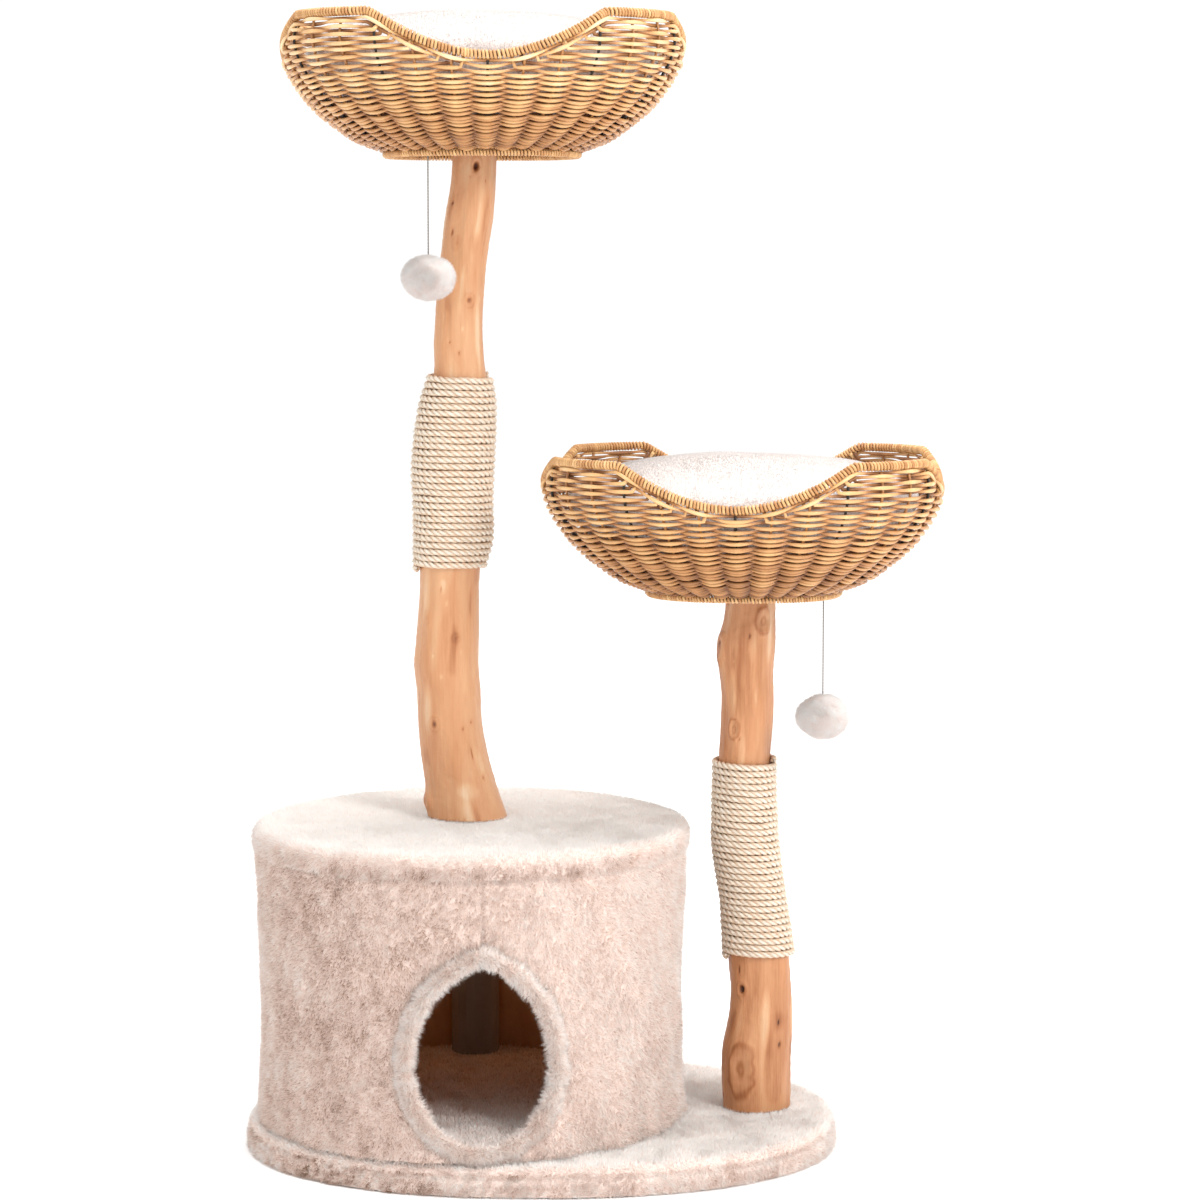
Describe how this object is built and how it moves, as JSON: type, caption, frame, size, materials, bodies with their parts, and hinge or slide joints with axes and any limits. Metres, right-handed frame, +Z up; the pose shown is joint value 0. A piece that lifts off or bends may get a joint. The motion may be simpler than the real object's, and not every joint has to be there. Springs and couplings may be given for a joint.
{
  "type": "cat tree",
  "caption": "Cat tree: plush condo with an arched doorway on an oval base, branch posts with sisal wraps, woven baskets with cushions, hanging pompom toys.",
  "frame": {"origin": "centre of the oval base's underside, on the surface that the cat tree stands on", "axes": "+Z up, +X from the tall post towards the short post, -Y the side with the doorway"},
  "size_m": [0.7689, 0.5, 1.2439],
  "materials": {
    "plush": "short pile plush, pale beige pink",
    "board": "raw board",
    "branch": "peeled natural branch, oiled, with knots",
    "sisal": "twisted sisal rope",
    "wicker": "round woven cane, satin",
    "cushion": "soft pale plush and faux fur",
    "paper_tube": "wound paper",
    "tube_fabric": "thin fabric skin",
    "steel": "zinc plated",
    "string": "thin elastic cord"
  },
  "bodies": {
    "stand": {"base_board": "board", "base_cover": "plush", "condo_floor_board": "board", "condo_floor_cover": "plush", "condo_top_board": "board", "condo_top_cover": "plush", "condo_tube_back": "paper_tube", "condo_tube_left": "paper_tube", "condo_tube_right": "paper_tube", "condo_wall": "plush", "doorway_hem": "plush", "lower_basket_bolt": "steel", "lower_basket_disc": "board", "lower_basket_hoop": "wicker", "lower_basket_rim": "wicker", "lower_basket_washer": "steel", "lower_basket_weave": "wicker", "short_post": "branch", "short_post_bolt": "steel", "short_post_rope": "sisal", "short_post_washer": "steel", "tall_post": "branch", "tall_post_bolt": "steel", "tall_post_rope": "sisal", "tall_post_washer": "steel", "tube_cover_back": "tube_fabric", "tube_cover_left": "tube_fabric", "tube_cover_right": "tube_fabric", "tube_foot_bolt_back": "steel", "tube_foot_bolt_left": "steel", "tube_foot_bolt_right": "steel", "tube_head_bolt_back": "steel", "tube_head_bolt_left": "steel", "tube_head_bolt_right": "steel", "tube_plug_back_foot": "board", "tube_plug_back_head": "board", "tube_plug_left_foot": "board", "tube_plug_left_head": "board", "tube_plug_right_foot": "board", "tube_plug_right_head": "board", "tube_washer_back": "steel", "tube_washer_left": "steel", "tube_washer_right": "steel", "upper_basket_bolt": "steel", "upper_basket_disc": "board", "upper_basket_hoop": "wicker", "upper_basket_rim": "wicker", "upper_basket_washer": "steel", "upper_basket_weave": "wicker"},
    "upper_cushion": {"upper_cushion": "cushion"},
    "lower_cushion": {"lower_cushion": "cushion"},
    "upper_toy_tie": {"upper_toy_tie": "string"},
    "lower_toy_tie": {"lower_toy_tie": "string"},
    "upper_toy": {"upper_toy_string": "string", "upper_toy_pompom": "cushion"},
    "lower_toy": {"lower_toy_string": "string", "lower_toy_pompom": "cushion"}
  },
  "joints": [
    {"name": "upper_cushion_lift", "type": "slide", "parent": "stand", "child": "upper_cushion", "axis": [0, 0, 1], "range_m": [0, 0.15]},
    {"name": "upper_toy_side_swing", "type": "hinge", "parent": "stand", "child": "upper_toy_tie", "pos_m": [-0.1185, -0.066, 1.0918], "axis": [0, 1, 0], "range_deg": [-35, 35]},
    {"name": "upper_toy_front_swing", "type": "hinge", "parent": "upper_toy_tie", "child": "upper_toy", "pos_m": [-0.1185, -0.066, 1.0918], "axis": [1, 0, 0], "range_deg": [-35, 6]},
    {"name": "lower_cushion_lift", "type": "slide", "parent": "stand", "child": "lower_cushion", "axis": [0, 0, 1], "range_m": [0, 0.15]},
    {"name": "lower_toy_side_swing", "type": "hinge", "parent": "stand", "child": "lower_toy_tie", "pos_m": [0.307, -0.06, 0.6173], "axis": [0, 1, 0], "range_deg": [-35, 35]},
    {"name": "lower_toy_front_swing", "type": "hinge", "parent": "lower_toy_tie", "child": "lower_toy", "pos_m": [0.307, -0.06, 0.6173], "axis": [1, 0, 0], "range_deg": [-35, 1]}
  ]
}
